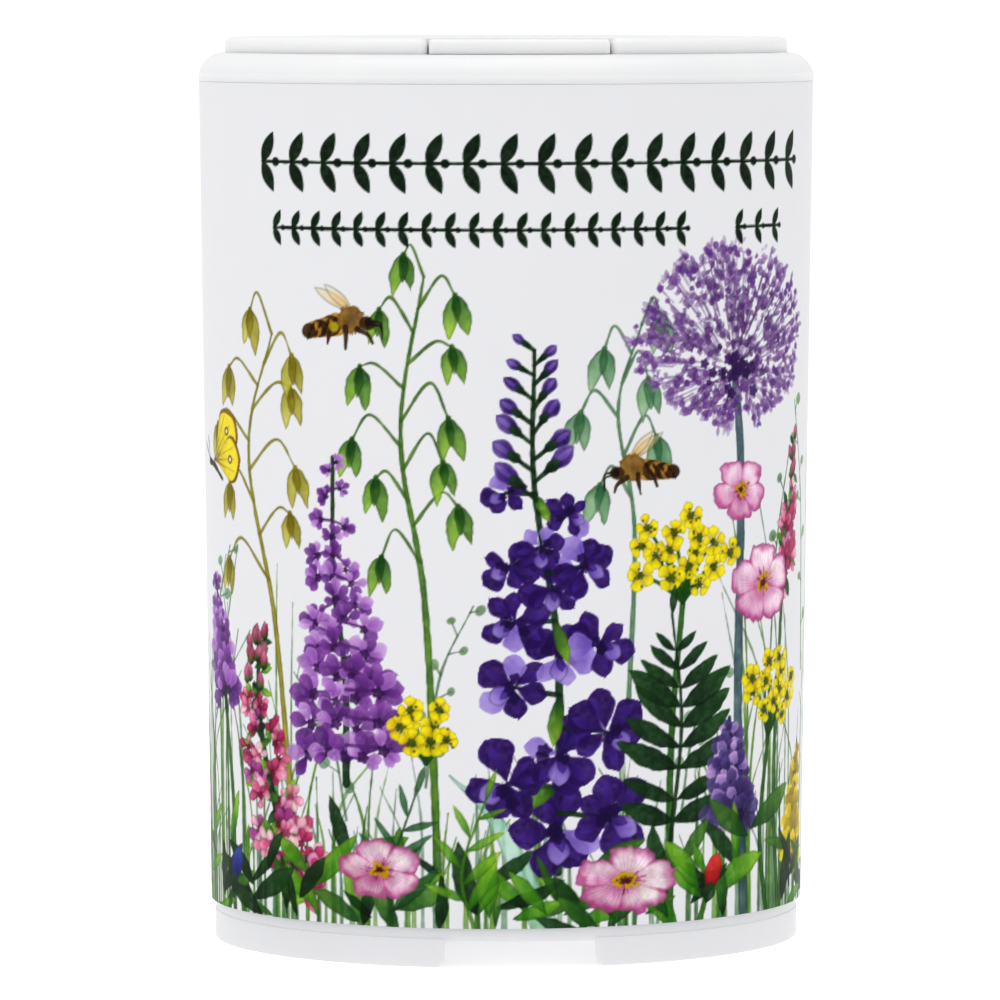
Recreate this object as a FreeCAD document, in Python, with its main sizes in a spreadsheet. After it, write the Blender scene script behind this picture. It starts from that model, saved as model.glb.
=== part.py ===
"""Oval talc shaker with a sliding shutter, in millimetres, +Z up.

The origin is on the floor, under the middle of the oval. X runs along the oval's long axis and
the front, where the shutter's tab is, faces -Y. The tube is a tapered oval, the base cap and
the top cap snap into its two ends, and the shutter slides between the deck of the top cap and
the cover pegged on to it.
"""
import FreeCAD, Part
import os
import re
import Sketcher

SIZES = {
    # Tapered tube: outside of the wall at its top, without the label. Each side leans out by
    # the taper from the tube's base to its top.
    "body_width": 51.7,
    "body_depth": 40.3,
    "body_height": 69.35,
    "taper": 0.8,
    "wall": 0.9,
    # Label film.
    "film_thickness": 0.1,
    "film_gap": 0.01,
    "film_margin": 0.06,
    "seam_width": 0.2,
    # Base cap.
    "foot_height": 2.12,
    "foot_lap": 0.26,
    "foot_step": 0.08,
    "foot_inset": 0.22,
    "foot_wall": 0.78,
    "foot_gap": 12.5,
    "foot_corner": 0.8,
    "foot_edge": 0.06,
    "flange_height": 1.16,
    # Snap plugs, and the ring groove and bead that hold them.
    "base_skirt": 5.0,
    "cap_skirt": 5.0,
    "skirt_wall": 0.9,
    "lead_in": 0.3,
    "snap_height": 2.8,
    "snap_half": 0.5,
    "snap_depth": 0.25,
    "fit_clearance": 0.03,
    # Top cap.
    "rim_height": 0.75,
    "rim_overhang": 0.17,
    "rim_step": 0.02,
    "rim_edge": 0.05,
    "rim_lip": 0.1,
    "shoulder_height": 1.65,
    "shoulder_radius": 2.2,
    "deck_thickness": 1.2,
    # Platform cover.
    "platform_height": 1.3,
    "platform_edge": 0.6,
    "stack_clearance": 0.3,
    "notch_width": 15.0,
    "notch_depth": 2.45,
    "notch_corner": 0.7,
    "channel_width": 24.3,
    "front_wall": 1.8,
    "back_wall": 4.25,
    "peg_diameter": 1.6,
    "peg_across": 18.2,
    "peg_along": 6.5,
    # Shutter and sprinkle holes.
    "shutter_thickness": 0.6,
    "slide_gap": 0.04,
    "side_gap": 0.08,
    "travel": 2.4,
    "tab_depth": 2.2,
    "tab_drop": 0.08,
    "tab_inset": 0.05,
    "tab_edge": 0.35,
    "hole_diameter": 1.8,
    "hole_edge": 0.12,
    "hole_pitch": 5.0,
    "row_pitch": 5.0,
}
HOLE_ROWS = ((-1, 4), (0, 3), (1, 4))  # place of each row along Y, and its number of holes

FLANGE_BOTTOM = "foot_height"
BODY_BOTTOM = f"{FLANGE_BOTTOM} + flange_height"
BODY_TOP = f"{BODY_BOTTOM} + body_height"
RIM_TOP = f"{BODY_TOP} + rim_height"
DECK_TOP = f"{RIM_TOP} + shoulder_height"
PLATFORM_TOP = f"{DECK_TOP} + platform_height"
PLUG_INSET = "wall + fit_clearance"
PLUG_CAVITY = f"{PLUG_INSET} + skirt_wall"
CHANNEL_HEIGHT = "shutter_thickness + 2 * slide_gap"
SHOULDER_DOME = "rim_height + shoulder_height"
SHOULDER_ROUND = f"min(shoulder_radius; 0.95 * ({SHOULDER_DOME}))"
# How far the shoulder has drawn back from the rim at the rim's top.
ROUND_BELOW_RIM = f"max(0; {SHOULDER_ROUND} - shoulder_height)"
RIM_STAND = f"rim_step + {SHOULDER_ROUND} - sqrt({SHOULDER_ROUND} ^ 2 - {ROUND_BELOW_RIM} ^ 2)"
RIM_ROUND = f"min(rim_edge; 0.8 * ({RIM_STAND}))"

doc = FreeCAD.newDocument("talc_shaker")
sheet = doc.addObject("Spreadsheet::Sheet", "Sizes")
for row, (alias, size) in enumerate(SIZES.items(), start=1):
    sheet.set(f"A{row}", alias)
    sheet.set(f"B{row}", str(size))
    sheet.setAlias(f"B{row}", alias)
doc.recompute()


def cells(text):
    """The same sum with each size named in full as a cell of the sheet; min( and so on stay."""
    return re.sub(r"[a-z_]+\b(?!\()", lambda word: f"Sizes.{word.group(0)}", text)


def number(text):
    """What a sum of sizes comes to now."""
    return float(sheet.evalExpression(cells(text)))


# Widths and depths of the ovals, as sums of sizes. Each axis is "width" or "depth".


def base(axis):
    """The outside of the tube's lower end."""
    return f"body_{axis} - 2 * taper"


def tube(axis, height, inset):
    """The tapered tube's outside at a height, brought in by inset on each side."""
    rise = f"(({height}) - ({BODY_BOTTOM})) / body_height"
    return f"{base(axis)} + 2 * taper * {rise} - 2 * ({inset})"


def rim(axis):
    return f"body_{axis} + 2 * rim_overhang"


def shoulder(axis):
    return f"{rim(axis)} - 2 * rim_step"


def feet_outside(axis):
    return f"{base(axis)} - 2 * foot_inset"


def feet_inside(axis):
    return f"{feet_outside(axis)} - 2 * foot_wall"


def platform(axis):
    """The platform goes inside the feet of another shaker when two are stacked."""
    return f"{feet_inside(axis)} - 2 * stack_clearance"


def channel_front():
    """How far the shutter's channel reaches forward, to the wall behind the notch."""
    return f"(({platform('depth')}) / 2 - notch_depth - front_wall)"


def channel_back():
    return f"(({platform('depth')}) / 2 - back_wall)"


def flange(axis):
    return f"{feet_outside(axis)} - 2 * foot_step"


# Sketches. All lie flat, at a height above the floor.


def new_body(label):
    body = doc.addObject("PartDesign::Body", label)
    body.Label = label
    return body


def new_sketch(body, name, height):
    sketch = body.newObject("Sketcher::SketchObject", f"{body.Label}_{name}")
    ground = next(p for p in body.Origin.OriginFeatures if p.Role == "XY_Plane")
    sketch.AttachmentSupport = [(ground, "")]
    sketch.MapMode = "FlatFace"
    sketch.setExpression("AttachmentOffset.Base.z", cells(height))
    return sketch


def size_to(sketch, text, *constraint):
    """Adds a constraint whose value is a sum of sizes."""
    index = sketch.addConstraint(Sketcher.Constraint(*constraint, number(text)))
    sketch.setExpression(f"Constraints[{index}]", cells(text))


def pin(sketch, geometry, point, across, along):
    """Holds a point at its distances from the origin along X and Y."""
    for kind, axis, place in (("DistanceX", -2, across), ("DistanceY", -1, along)):
        value = number(place)
        if value == 0:
            sketch.addConstraint(Sketcher.Constraint("PointOnObject", geometry, point, axis))
        elif value > 0:
            size_to(sketch, place, kind, -1, 1, geometry, point)
        else:
            size_to(sketch, f"-({place})", kind, geometry, point, -1, 1)


def add_oval(sketch, size):
    """An ellipse round the origin, from a function that gives its width and its depth."""
    half_width = number(size("width")) / 2
    half_depth = number(size("depth")) / 2
    centre = FreeCAD.Vector(0, 0, 0)
    ends = (FreeCAD.Vector(half_width, 0, 0), FreeCAD.Vector(0, half_depth, 0))
    oval = sketch.addGeometry(Part.Ellipse(*ends, centre))
    sketch.exposeInternalGeometry(oval)
    long_axis, short_axis = oval + 1, oval + 2
    sketch.addConstraint(Sketcher.Constraint("Coincident", oval, 3, -1, 1))
    sketch.addConstraint(Sketcher.Constraint("Horizontal", long_axis))
    size_to(sketch, size("width"), "Distance", long_axis)
    size_to(sketch, size("depth"), "Distance", short_axis)


def add_box(sketch, width, low, high):
    """A rectangle centred across X, from low to high along Y."""
    left, right = f"-({width}) / 2", f"({width}) / 2"
    corners = [(left, low), (right, low), (right, high), (left, high)]
    points = [FreeCAD.Vector(number(x), number(y), 0) for x, y in corners]
    lines = [
        sketch.addGeometry(Part.LineSegment(points[i], points[(i + 1) % 4])) for i in range(4)
    ]
    for i in range(4):
        following = lines[(i + 1) % 4]
        sketch.addConstraint(Sketcher.Constraint("Coincident", lines[i], 2, following, 1))
        direction = "Vertical" if i % 2 else "Horizontal"
        sketch.addConstraint(Sketcher.Constraint(direction, lines[i]))
    pin(sketch, lines[0], 1, *corners[0])
    pin(sketch, lines[2], 1, *corners[2])


def add_circle(sketch, diameter, across, along):
    centre = FreeCAD.Vector(number(across), number(along), 0)
    up = FreeCAD.Vector(0, 0, 1)
    circle = sketch.addGeometry(Part.Circle(centre, up, number(diameter) / 2))
    pin(sketch, circle, 3, across, along)
    size_to(sketch, diameter, "Diameter", circle)


def add_sprinkle_holes(sketch, shift="0"):
    """The staggered rows of sprinkle holes, moved along Y by shift."""
    for place, count in HOLE_ROWS:
        for step in range(count):
            across = f"{step - (count - 1) / 2} * hole_pitch"
            add_circle(sketch, "hole_diameter", across, f"{place} * row_pitch + {shift}")


def add_pegs(sketch, diameter):
    for side in (-1, 1):
        for end in (-1, 1):
            add_circle(sketch, diameter, f"{side} * peg_across", f"{end} * peg_along")


# Features.


def oval_at(body, name, height, size):
    sketch = new_sketch(body, name, height)
    add_oval(sketch, size)
    return sketch


def loft(body, name, kind, sections):
    """A straight-sided loft through flat ovals, each a height and a size function."""
    ovals = [
        oval_at(body, f"{name}_oval_{i}", height, size)
        for i, (height, size) in enumerate(sections)
    ]
    feature = body.newObject(kind, f"{body.Label}_{name}")
    feature.Profile = ovals[0]
    feature.Sections = ovals[1:]
    feature.Ruled = True
    return feature


def tube_loft(body, name, kind, sections):
    """A loft that follows the tube's taper, each section a height and an inset."""

    def sized(height, inset):
        return height, lambda axis: tube(axis, height, inset)

    return loft(body, name, kind, [sized(height, inset) for height, inset in sections])


def pad(body, sketch, name, length, down=False):
    feature = body.newObject("PartDesign::Pad", f"{body.Label}_{name}")
    feature.Profile = sketch
    feature.setExpression("Length", cells(length))
    feature.Reversed = down
    return feature


def cut(body, sketch, name, length):
    """A pocket that goes up from its sketch, checked to take something away."""
    doc.recompute()
    before = body.Shape.Volume
    feature = body.newObject("PartDesign::Pocket", f"{body.Label}_{name}")
    feature.Profile = sketch
    feature.setExpression("Length", cells(length))
    feature.Reversed = True
    doc.recompute()
    if body.Shape.Volume >= before:
        raise RuntimeError(f"{feature.Name} cuts nothing")
    return feature


def round_edges(body, name, radius, wanted):
    """Rounds the edges of the body so far for which wanted(edge) is true."""
    doc.recompute()
    base = body.Tip
    edges = [f"Edge{i}" for i, edge in enumerate(base.Shape.Edges, start=1) if wanted(edge)]
    if not edges:
        raise RuntimeError(f"{name} finds no edges on {body.Label}")
    feature = body.newObject("PartDesign::Fillet", f"{body.Label}_{name}")
    feature.Base = (base, edges)
    feature.setExpression("Radius", cells(radius))
    return feature


def near(value, text):
    return abs(value - number(text)) < 1e-4


def lies_at(edge, height):
    """True if the whole edge is at one height."""
    return near(edge.BoundBox.ZMin, height) and near(edge.BoundBox.ZMax, height)


def is_oval_at(edge, height, size):
    """True for a whole oval edge of the given size at one height."""
    return lies_at(edge, height) and near(edge.BoundBox.XLength, size("width"))


# Pieces.


def make_body_shell():
    body = new_body("body_shell")
    outside = [(BODY_BOTTOM, "0"), (BODY_TOP, "0")]
    tube_loft(body, "outside", "PartDesign::AdditiveLoft", outside)
    base_groove = f"{BODY_BOTTOM} + snap_height"
    cap_groove = f"{BODY_TOP} - snap_height"
    grooves = [
        section
        for middle in (base_groove, cap_groove)
        for section in snap_ring(middle, "wall")
    ]
    inside = [(BODY_BOTTOM, "wall"), *grooves, (BODY_TOP, "wall")]
    tube_loft(body, "inside", "PartDesign::SubtractiveLoft", inside)


def snap_ring(middle, inset):
    """Sections of a ring groove or bead that stands out from an inset surface."""
    return [
        (f"{middle} - snap_half", inset),
        (middle, f"{inset} - snap_depth"),
        (f"{middle} + snap_half", inset),
    ]


def make_printed_sleeve():
    body = new_body("printed_sleeve")
    low = f"{BODY_BOTTOM} + film_margin"
    high = f"{BODY_TOP} - film_margin"
    outside = "-(film_gap + film_thickness)"
    tube_loft(body, "outside", "PartDesign::AdditiveLoft", [(low, outside), (high, outside)])
    inside = [(low, "-film_gap"), (high, "-film_gap")]
    tube_loft(body, "inside", "PartDesign::SubtractiveLoft", inside)
    seam = new_sketch(body, "seam_outline", low)
    add_box(seam, "seam_width", "body_depth / 4", "body_depth")
    cut(body, seam, "seam", "body_height")


def make_base_cap():
    body = new_body("base_cap")
    ring = new_sketch(body, "feet_ring", "0")
    add_oval(ring, feet_outside)
    add_oval(ring, feet_inside)
    pad(body, ring, "feet", "foot_height + foot_lap")
    gap = new_sketch(body, "gap_outline", "0")
    add_box(gap, "foot_gap", "-body_depth", "body_depth")
    cut(body, gap, "gap", "foot_height + foot_lap")
    pad(body, oval_at(body, "flange_oval", FLANGE_BOTTOM, flange), "flange", "flange_height")
    bead = snap_ring(f"{BODY_BOTTOM} + snap_height", PLUG_INSET)
    top = f"{BODY_BOTTOM} + base_skirt"
    plug = [
        (BODY_BOTTOM, PLUG_INSET),
        *bead,
        (f"{top} - lead_in", PLUG_INSET),
        (top, f"{PLUG_INSET} + lead_in"),
    ]
    tube_loft(body, "plug", "PartDesign::AdditiveLoft", plug)
    cavity = [(BODY_BOTTOM, PLUG_CAVITY), (top, PLUG_CAVITY)]
    tube_loft(body, "plug_cavity", "PartDesign::SubtractiveLoft", cavity)
    round_edges(body, "foot_corners", "foot_corner", is_foot_end)
    lap = f"{FLANGE_BOTTOM} + foot_lap"
    round_edges(body, "foot_tops", "foot_edge", lambda edge: is_foot_top(edge, lap))


def is_foot_end(edge):
    """True for the short edges where the ends of the feet meet the floor."""
    across = "foot_gap / 2"
    box = edge.BoundBox
    at_end = box.XLength < 1e-4 and near(abs(box.XMin), across)
    return at_end and lies_at(edge, "0")


def is_foot_top(edge, height):
    """True for the outer edges at the top of the feet."""
    reach = max(abs(edge.BoundBox.XMin), abs(edge.BoundBox.XMax))
    return lies_at(edge, height) and near(reach, f"({feet_outside('width')}) / 2")


def make_top_cap():
    body = new_body("top_cap")
    pad(body, oval_at(body, "shoulder_oval", BODY_TOP, shoulder), "shoulder", SHOULDER_DOME)
    round_edges(
        body, "shoulder_round", SHOULDER_ROUND, lambda edge: is_oval_at(edge, DECK_TOP, shoulder)
    )
    pad(body, oval_at(body, "rim_oval", BODY_TOP, rim), "rim", "rim_height")
    round_edges(body, "rim_edge", RIM_ROUND, lambda edge: is_oval_at(edge, RIM_TOP, rim))
    round_edges(body, "rim_lip", "rim_lip", lambda edge: is_oval_at(edge, BODY_TOP, rim))
    bead = snap_ring(f"{BODY_TOP} - snap_height", PLUG_INSET)
    low = f"{BODY_TOP} - cap_skirt"
    plug = [
        (low, f"{PLUG_INSET} + lead_in"),
        (f"{low} + lead_in", PLUG_INSET),
        *bead,
        (BODY_TOP, PLUG_INSET),
    ]
    tube_loft(body, "plug", "PartDesign::AdditiveLoft", plug)
    cavity = [(low, PLUG_CAVITY), (f"{DECK_TOP} - deck_thickness", PLUG_CAVITY)]
    tube_loft(body, "cavity", "PartDesign::SubtractiveLoft", cavity)
    holes = new_sketch(body, "hole_outlines", f"{DECK_TOP} - deck_thickness")
    add_sprinkle_holes(holes)
    add_pegs(holes, "peg_diameter + 2 * fit_clearance")
    cut(body, holes, "holes", "deck_thickness")


def make_platform_cover():
    body = new_body("platform_cover")
    pad(body, oval_at(body, "platform_oval", DECK_TOP, platform), "platform", "platform_height")
    channel = new_sketch(body, "channel_outline", DECK_TOP)
    add_box(channel, "channel_width", f"-{channel_front()}", channel_back())
    cut(body, channel, "channel", CHANNEL_HEIGHT)
    front = f"-({platform('depth')}) / 2"
    notch_back = f"{front} + notch_depth"
    notch = new_sketch(body, "notch_outline", DECK_TOP)
    add_box(notch, "notch_width", front, notch_back)
    cut(body, notch, "notch", "platform_height")
    round_edges(body, "notch_corners", "notch_corner", is_notch_corner)
    tongue = new_sketch(body, "tongue_outline", DECK_TOP)
    add_box(tongue, "notch_width", notch_back, f"-{channel_front()} / 2")
    cut(body, tongue, "tongue_channel", CHANNEL_HEIGHT)
    round_edges(body, "platform_edge", "platform_edge", is_platform_edge)
    holes = new_sketch(body, "hole_outlines", DECK_TOP)
    add_sprinkle_holes(holes)
    cut(body, holes, "holes", "platform_height")
    round_edges(body, "hole_rims", "hole_edge", is_hole_rim)
    pegs = new_sketch(body, "peg_outlines", DECK_TOP)
    add_pegs(pegs, "peg_diameter")
    pad(body, pegs, "pegs", "deck_thickness", down=True)


def is_notch_corner(edge):
    """True for the upright edges where the notch opens in the platform's wall."""
    box = edge.BoundBox
    upright = near(box.ZLength, "platform_height")
    at_side = near(abs(box.XMin), "notch_width / 2")
    at_back = near(-box.YMax, f"({platform('depth')}) / 2 - notch_depth")
    return upright and at_side and not at_back


def is_platform_edge(edge):
    """True for the long oval edge round the top of the platform."""
    wide = edge.BoundBox.XLength > number("channel_width")
    return lies_at(edge, PLATFORM_TOP) and wide


def is_hole_rim(edge):
    return lies_at(edge, PLATFORM_TOP) and near(edge.BoundBox.XLength, "hole_diameter")


def make_shutter():
    body = new_body("shutter")
    low = f"{DECK_TOP} + slide_gap"
    plate_front = f"-{channel_front()} + travel + side_gap"
    plate_back = f"{channel_back()} - side_gap"
    tab_front = f"-(({platform('depth')}) / 2 - tab_inset)"
    beyond = f"-({rim('depth')}) / 2"
    plate = new_sketch(body, "plate_outline", low)
    add_box(plate, "channel_width - 2 * side_gap", plate_front, plate_back)
    pad(body, plate, "plate", "shutter_thickness")
    tongue = new_sketch(body, "tongue_outline", low)
    add_box(tongue, "notch_width - 2 * side_gap", beyond, f"-{channel_front()} / 2")
    pad(body, tongue, "tongue", "shutter_thickness")
    tab = new_sketch(body, "tab_outline", low)
    add_box(tab, "notch_width - 2 * side_gap", beyond, f"{tab_front} + tab_depth")
    tab_height = "platform_height - slide_gap - tab_drop"
    pad(body, tab, "tab", tab_height)
    face = new_sketch(body, "face_outline", low)
    add_oval(face, lambda axis: f"{platform(axis)} - 2 * tab_inset")
    add_oval(face, lambda axis: f"{rim(axis)} + 2 * tab_depth")
    cut(body, face, "curved_face", "platform_height")
    tab_top = f"{low} + {tab_height}"
    round_edges(body, "tab_edges", "tab_edge", lambda edge: is_tab_edge(edge, tab_top))
    holes = new_sketch(body, "hole_outlines", low)
    add_sprinkle_holes(holes, "travel")
    cut(body, holes, "holes", "shutter_thickness")


def is_tab_edge(edge, height):
    """True for the edges round the top of the tab and down the ends of its curved face."""
    box = edge.BoundBox
    front = box.YMax < -number(f"({platform('depth')}) / 2 - notch_depth")
    upright = box.ZLength > number("platform_height / 2")
    curved_end = upright and box.YMax < -number(f"({platform('depth')}) / 2 - tab_depth / 1.3")
    return front and (lies_at(edge, height) or curved_end)


def write_parts():
    """Checks every object and writes each piece to its own file."""
    doc.recompute()
    failed = [o.Name for o in doc.Objects if {"Invalid", "Error"} & set(o.State)]
    if failed:
        raise RuntimeError(f"failed objects: {', '.join(failed)}")
    pieces = [o for o in doc.Objects if o.TypeId == "PartDesign::Body"]
    for piece in pieces:
        shape = piece.Shape
        if shape.isNull() or not shape.isValid() or len(shape.Solids) != 1:
            raise RuntimeError(f"{piece.Label} is not one sound solid")
    os.makedirs("parts", exist_ok=True)
    for piece in pieces:
        piece.Shape.exportStep(f"parts/{piece.Label}.step")


make_body_shell()
make_printed_sleeve()
make_base_cap()
make_top_cap()
make_platform_cover()
make_shutter()
write_parts()
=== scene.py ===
"""Oval talc shaker: plastics, printed meadow label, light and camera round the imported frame.

The label's print is painted here with formulas on a fine grid of colour points, in millimetres
along the label's height and round its girth from the middle of the front. Everything else is in
metres. The meadow is a generic one, and leafy bands stand where a pack would have its words.
"""

import math

import bpy
import numpy as np
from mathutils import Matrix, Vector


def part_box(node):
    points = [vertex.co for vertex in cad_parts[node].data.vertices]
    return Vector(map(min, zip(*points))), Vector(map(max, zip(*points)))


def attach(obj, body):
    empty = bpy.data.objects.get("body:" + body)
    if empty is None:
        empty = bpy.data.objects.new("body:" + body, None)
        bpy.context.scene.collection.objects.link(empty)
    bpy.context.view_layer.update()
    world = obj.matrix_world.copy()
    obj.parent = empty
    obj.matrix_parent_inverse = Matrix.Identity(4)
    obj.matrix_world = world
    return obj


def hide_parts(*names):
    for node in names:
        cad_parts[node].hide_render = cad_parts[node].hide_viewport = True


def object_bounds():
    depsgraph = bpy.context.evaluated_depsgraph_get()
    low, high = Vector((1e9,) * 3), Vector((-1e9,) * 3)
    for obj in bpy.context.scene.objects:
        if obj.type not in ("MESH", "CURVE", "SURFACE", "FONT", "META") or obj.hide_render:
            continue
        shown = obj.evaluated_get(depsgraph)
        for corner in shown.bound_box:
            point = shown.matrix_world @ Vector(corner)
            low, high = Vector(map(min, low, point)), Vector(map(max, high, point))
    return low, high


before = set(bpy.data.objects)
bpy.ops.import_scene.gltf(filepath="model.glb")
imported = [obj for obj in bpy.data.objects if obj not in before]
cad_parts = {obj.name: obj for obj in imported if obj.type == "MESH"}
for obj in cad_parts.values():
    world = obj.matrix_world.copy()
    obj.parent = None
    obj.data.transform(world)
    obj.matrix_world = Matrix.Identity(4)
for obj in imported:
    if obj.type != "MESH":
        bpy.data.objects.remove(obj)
cad_low, cad_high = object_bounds()
MM = 0.001


# Label size, from the frame ------------------------------------------------------------------


def oval_halves(node, z):
    """Half the width and half the depth of a CAD node near a height."""
    places = np.array([vertex.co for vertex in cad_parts[node].data.vertices])
    near = places[np.abs(places[:, 2] - z) < 0.2 * MM]
    return np.abs(near[:, 0]).max(), np.abs(near[:, 1]).max()


film_low, film_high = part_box("printed_sleeve")
EDGE_FIT = 0.05  # the film's edges, drawn out to close the fine gaps at the caps
LOW, HIGH = film_low.z / MM - EDGE_FIT, film_high.z / MM + EDGE_FIT
BASE_HALVES = np.array(oval_halves("printed_sleeve", film_low.z)) / MM
TOP_HALVES = np.array(oval_halves("printed_sleeve", film_high.z)) / MM
MID_HALVES = (BASE_HALVES + TOP_HALVES) / 2
FILM_THICKNESS = 0.09
SEAM_GAP = 0.2

# The way along the middle oval for every angle round it, summed up in short steps.
around = np.linspace(-math.pi, math.pi, 20001)
rate = np.hypot(MID_HALVES[0] * np.cos(around), MID_HALVES[1] * np.sin(around))
along = np.concatenate([[0], np.cumsum((rate[1:] + rate[:-1]) / 2 * np.diff(around))])
along -= along[len(along) // 2]
HALF_GIRTH = along[-1] - SEAM_GAP / 2

# Colour points: close together on the front, wider apart at the back.
FRONT = 36.0
FINE, COARSE = 0.1, 0.2
front_columns = np.arange(-FRONT, FRONT + FINE / 2, FINE)
back_columns = np.linspace(FRONT, HALF_GIRTH, int((HALF_GIRTH - FRONT) / COARSE) + 1)[1:]
S = np.concatenate([-back_columns[::-1], front_columns, back_columns])
Z = np.linspace(LOW, HIGH, int((HIGH - LOW) / FINE) + 1)

PAPER = np.array([0.889, 0.890, 0.902])
print_colours = np.ones((len(Z), len(S), 3)) * PAPER


def value_noise(size, seed):
    """Smooth random numbers from 0 to 1 over the whole label, in patches of the given size."""
    rng = np.random.default_rng(seed)
    x, y = (S - S[0]) / size, (Z - Z[0]) / size
    lattice = rng.random((int(y[-1]) + 3, int(x[-1]) + 3))
    i, j = y.astype(int), x.astype(int)
    fx, fy = x - j, y - i
    fx, fy = fx * fx * (3 - 2 * fx), fy * fy * (3 - 2 * fy)
    rows = lattice[i] * (1 - fy)[:, None] + lattice[i + 1] * fy[:, None]
    return rows[:, j] * (1 - fx) + rows[:, j + 1] * fx


GRAIN = value_noise(0.3, 11)
WASH = 0.6 * value_noise(1.3, 12) + 0.4 * value_noise(0.6, 13)
WOBBLE = 0.65 * value_noise(0.8, 14) + 0.35 * value_noise(0.4, 15) - 0.5
SOFT_EDGE = 0.11  # the width over which a shape's edge fades
GATHER = 0.15  # how far in from the edge the paint has gathered
BLUNT = 0.8  # below 1, so that a petal's ends are blunt
LOBE_DEPTH = 0.15  # how far a lobed blot's edge goes in and out, as a share of its radius


# Brushes -------------------------------------------------------------------------------------


def window(low_s, high_s, low_z, high_z):
    """The rows and columns of colour points inside a rectangle."""
    rows = slice(*np.searchsorted(Z, [low_z, high_z]))
    columns = slice(*np.searchsorted(S, [low_s, high_s]))
    return rows, columns


def wash_on(place, depth, deep, pale, mix, strength, rim=0.22):
    """Lays paint where depth, in mm inside the shape's edge, is above zero.

    mix runs from 0 for the deep colour to 1 for the pale one. rim darkens the shape's edge, or
    pales it if below zero. The paint's strength varies with the paper's grain.
    """
    cover = np.clip(depth / SOFT_EDGE + 0.5, 0, 1)
    cover = cover * strength * (0.86 + 0.14 * GRAIN[place])
    mix = np.clip(mix + 0.5 * (WASH[place] - 0.5), 0, 1)[..., None]
    tone = np.array(deep) * (1 - mix) + np.array(pale) * mix
    gather = np.exp(-((depth / GATHER) ** 2))[..., None]
    if rim >= 0:
        tone = tone * (1 - rim * gather)
    else:
        tone = tone * (1 + rim * gather) - np.array(pale) * rim * gather
    cover = cover[..., None]
    print_colours[place] = print_colours[place] * (1 - cover) + tone * cover


def petal(at, angle, length, width, deep, pale, strength=0.9, fat=0.5, bend=0.0, shade=(0.0, 1.0),
          rough=0.25, rim=0.22):
    """A petal, leaf or bud with its root at a point. fat is where along it it is widest."""
    reach = length * 1.1 + width
    place = window(at[0] - reach, at[0] + reach, at[1] - reach, at[1] + reach)
    ds, dz = S[place[1]][None, :] - at[0], Z[place[0]][:, None] - at[1]
    if ds.size == 0 or dz.size == 0:
        return
    cos, sin = math.cos(math.radians(angle)), math.sin(math.radians(angle))
    u = (ds * cos + dz * sin) / length
    v = -ds * sin + dz * cos - bend * length * u * (1 - u)
    power = math.log(0.5) / math.log(fat)
    inner = np.clip(u, 0, 1) ** power
    half = width / 2 * np.sin(math.pi * inner) ** BLUNT
    depth = np.minimum(half - np.abs(v), np.minimum(u, 1 - u) * length)
    depth = depth + rough * WOBBLE[place] * min(1.0, width)
    mix = shade[0] + (shade[1] - shade[0]) * u + 0.15 * v / width
    wash_on(place, depth, deep, pale, mix, strength, rim)


def blot(at, radius, deep, pale, strength=0.9, squash=1.0, tilt=0.0, lobes=0, rough=0.3, mix=0.5,
         rim=0.22):
    """A round or lobed blot."""
    reach = radius * 1.3
    place = window(at[0] - reach, at[0] + reach, at[1] - reach, at[1] + reach)
    ds, dz = S[place[1]][None, :] - at[0], Z[place[0]][:, None] - at[1]
    if ds.size == 0 or dz.size == 0:
        return
    cos, sin = math.cos(math.radians(tilt)), math.sin(math.radians(tilt))
    x, y = ds * cos + dz * sin, (-ds * sin + dz * cos) / squash
    distance = np.hypot(x, y)
    edge = radius * (1 + (LOBE_DEPTH * np.cos(lobes * np.arctan2(y, x)) if lobes else 0))
    depth = (edge - distance) * min(1.0, squash) + rough * WOBBLE[place] * min(1.0, radius)
    wash_on(place, depth, deep, pale, mix + 0.3 * (distance / radius - 0.5), strength, rim)


def curve(points, count=24):
    """Points along a smooth line that passes through all the given ones."""
    points = np.array(points, float)
    if len(points) == 2:
        return points[0] + (points[1] - points[0]) * np.linspace(0, 1, count)[:, None]
    ends = np.concatenate([[2 * points[0] - points[1]], points, [2 * points[-1] - points[-2]]])
    place = np.linspace(0, len(points) - 1 - 1e-9, count)
    i = place.astype(int)
    t = (place - i)[:, None]
    a, b, c, d = ends[i], ends[i + 1], ends[i + 2], ends[i + 3]
    squared, cubed = 2 * a - 5 * b + 4 * c - d, 3 * b - a - 3 * c + d
    return 0.5 * (2 * b + (c - a) * t + squared * t**2 + cubed * t**3)


def stem(points, start, end, deep, pale, strength=0.92, mix=0.4, rim=0.25, count=24):
    """A line of paint along a curve, its width running from start to end."""
    path = curve(points, count)
    margin = max(start, end) + 0.3
    low, high = path.min(0) - margin, path.max(0) + margin
    place = window(low[0], high[0], low[1], high[1])
    s, z = S[place[1]][None, :], Z[place[0]][:, None]
    if s.size == 0 or z.size == 0:
        return path
    depth = np.full((z.shape[0], s.shape[1]), -9.0)
    for i in range(count - 1):
        (s0, z0), (s1, z1) = path[i], path[i + 1]
        part = slice(*np.searchsorted(z[:, 0], [min(z0, z1) - margin, max(z0, z1) + margin]))
        side = slice(*np.searchsorted(s[0], [min(s0, s1) - margin, max(s0, s1) + margin]))
        ds, dz = s[:, side] - s0, z[part] - z0
        square = (s1 - s0) ** 2 + (z1 - z0) ** 2 + 1e-12
        t = np.clip((ds * (s1 - s0) + dz * (z1 - z0)) / square, 0, 1)
        half = (start + (end - start) * (i + t) / (count - 1)) / 2
        found = half - np.hypot(ds - t * (s1 - s0), dz - t * (z1 - z0))
        depth[part, side] = np.maximum(depth[part, side], found)
    depth = depth + 0.1 * WOBBLE[place]
    wash_on(place, depth, deep, pale, mix, strength, rim)
    return path


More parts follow.
